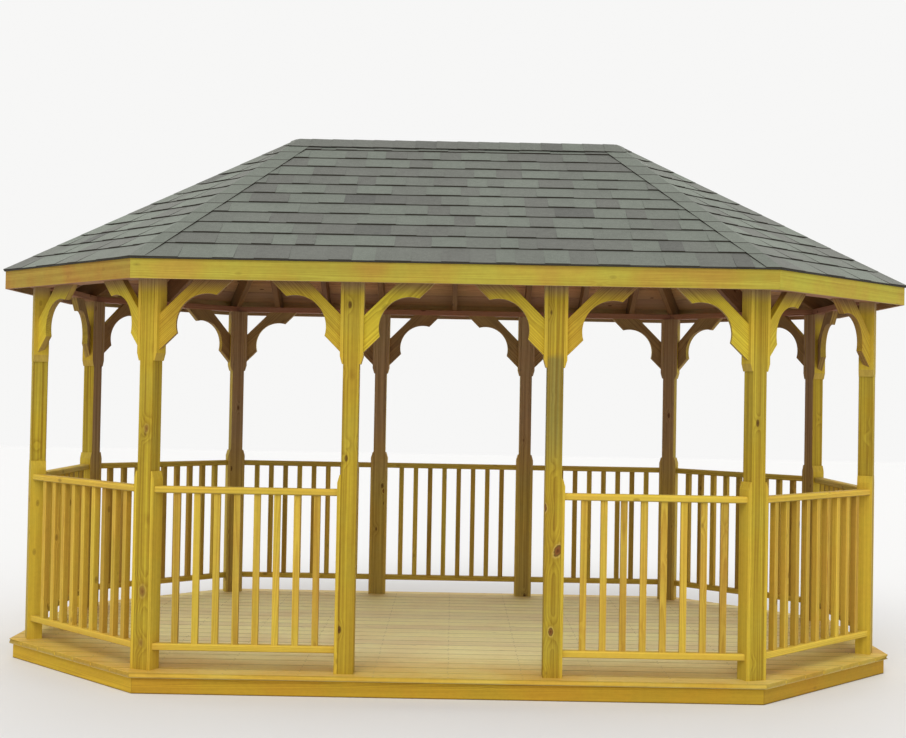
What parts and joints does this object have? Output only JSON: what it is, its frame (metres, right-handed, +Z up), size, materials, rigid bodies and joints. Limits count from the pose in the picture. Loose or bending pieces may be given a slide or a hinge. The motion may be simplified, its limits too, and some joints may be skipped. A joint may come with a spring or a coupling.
{
  "type": "garden gazebo",
  "caption": "Oval timber garden gazebo: railed posts with scroll braces on a low deck carry a hipped shingle roof, with an open entrance in the middle of one long side.",
  "frame": {"origin": "centre of the plan at ground level, under the floor band", "axes": "+X along the length, to the right of someone facing the entrance; +Y from the entrance to the back; +Z up"},
  "size_m": [5.5114, 3.42, 3.335],
  "materials": {
    "band_timber": "oiled golden softwood",
    "framing_timber": "sawn softwood",
    "deck_boards": "weathered tan boards",
    "post_timber": "planed golden softwood with knots",
    "rail_timber": "planed golden softwood",
    "brace_timber": "planed golden softwood",
    "roof_boards": "planed tongue and groove boards",
    "fascia_timber": "planed golden softwood",
    "shingles": "grey mineral granules on asphalt"
  },
  "bodies": {
    "root": {"floor_band": "band_timber", "floor_joists": "framing_timber", "deck_floor": "deck_boards", "post_front_1": "post_timber", "post_front_2": "post_timber", "post_front_3": "post_timber", "post_front_4": "post_timber", "post_back_1": "post_timber", "post_back_2": "post_timber", "post_back_3": "post_timber", "post_back_4": "post_timber", "post_left_front": "post_timber", "post_left_back": "post_timber", "post_right_front": "post_timber", "post_right_back": "post_timber", "brace_blocks": "post_timber", "rail_blocks": "post_timber", "railing_front_left": "rail_timber", "railing_front_right": "rail_timber", "railing_right_front": "rail_timber", "railing_right_end": "rail_timber", "railing_right_back": "rail_timber", "railing_back_right": "rail_timber", "railing_back_middle": "rail_timber", "railing_back_left": "rail_timber", "railing_left_back": "rail_timber", "railing_left_end": "rail_timber", "railing_left_front": "rail_timber", "braces_front": "brace_timber", "braces_back": "brace_timber", "braces_left": "brace_timber", "braces_right": "brace_timber", "top_plates": "framing_timber", "hip_rafters": "framing_timber", "common_rafters": "framing_timber", "peak_blocks": "framing_timber", "ridge_board": "framing_timber", "roof_boards_front": "roof_boards", "roof_boards_back": "roof_boards", "roof_boards_left": "roof_boards", "roof_boards_right": "roof_boards", "fascia": "fascia_timber", "shingles_front": "shingles", "shingles_back": "shingles", "shingles_left": "shingles", "shingles_right": "shingles", "ridge_cap": "shingles"}
  },
  "joints": []
}
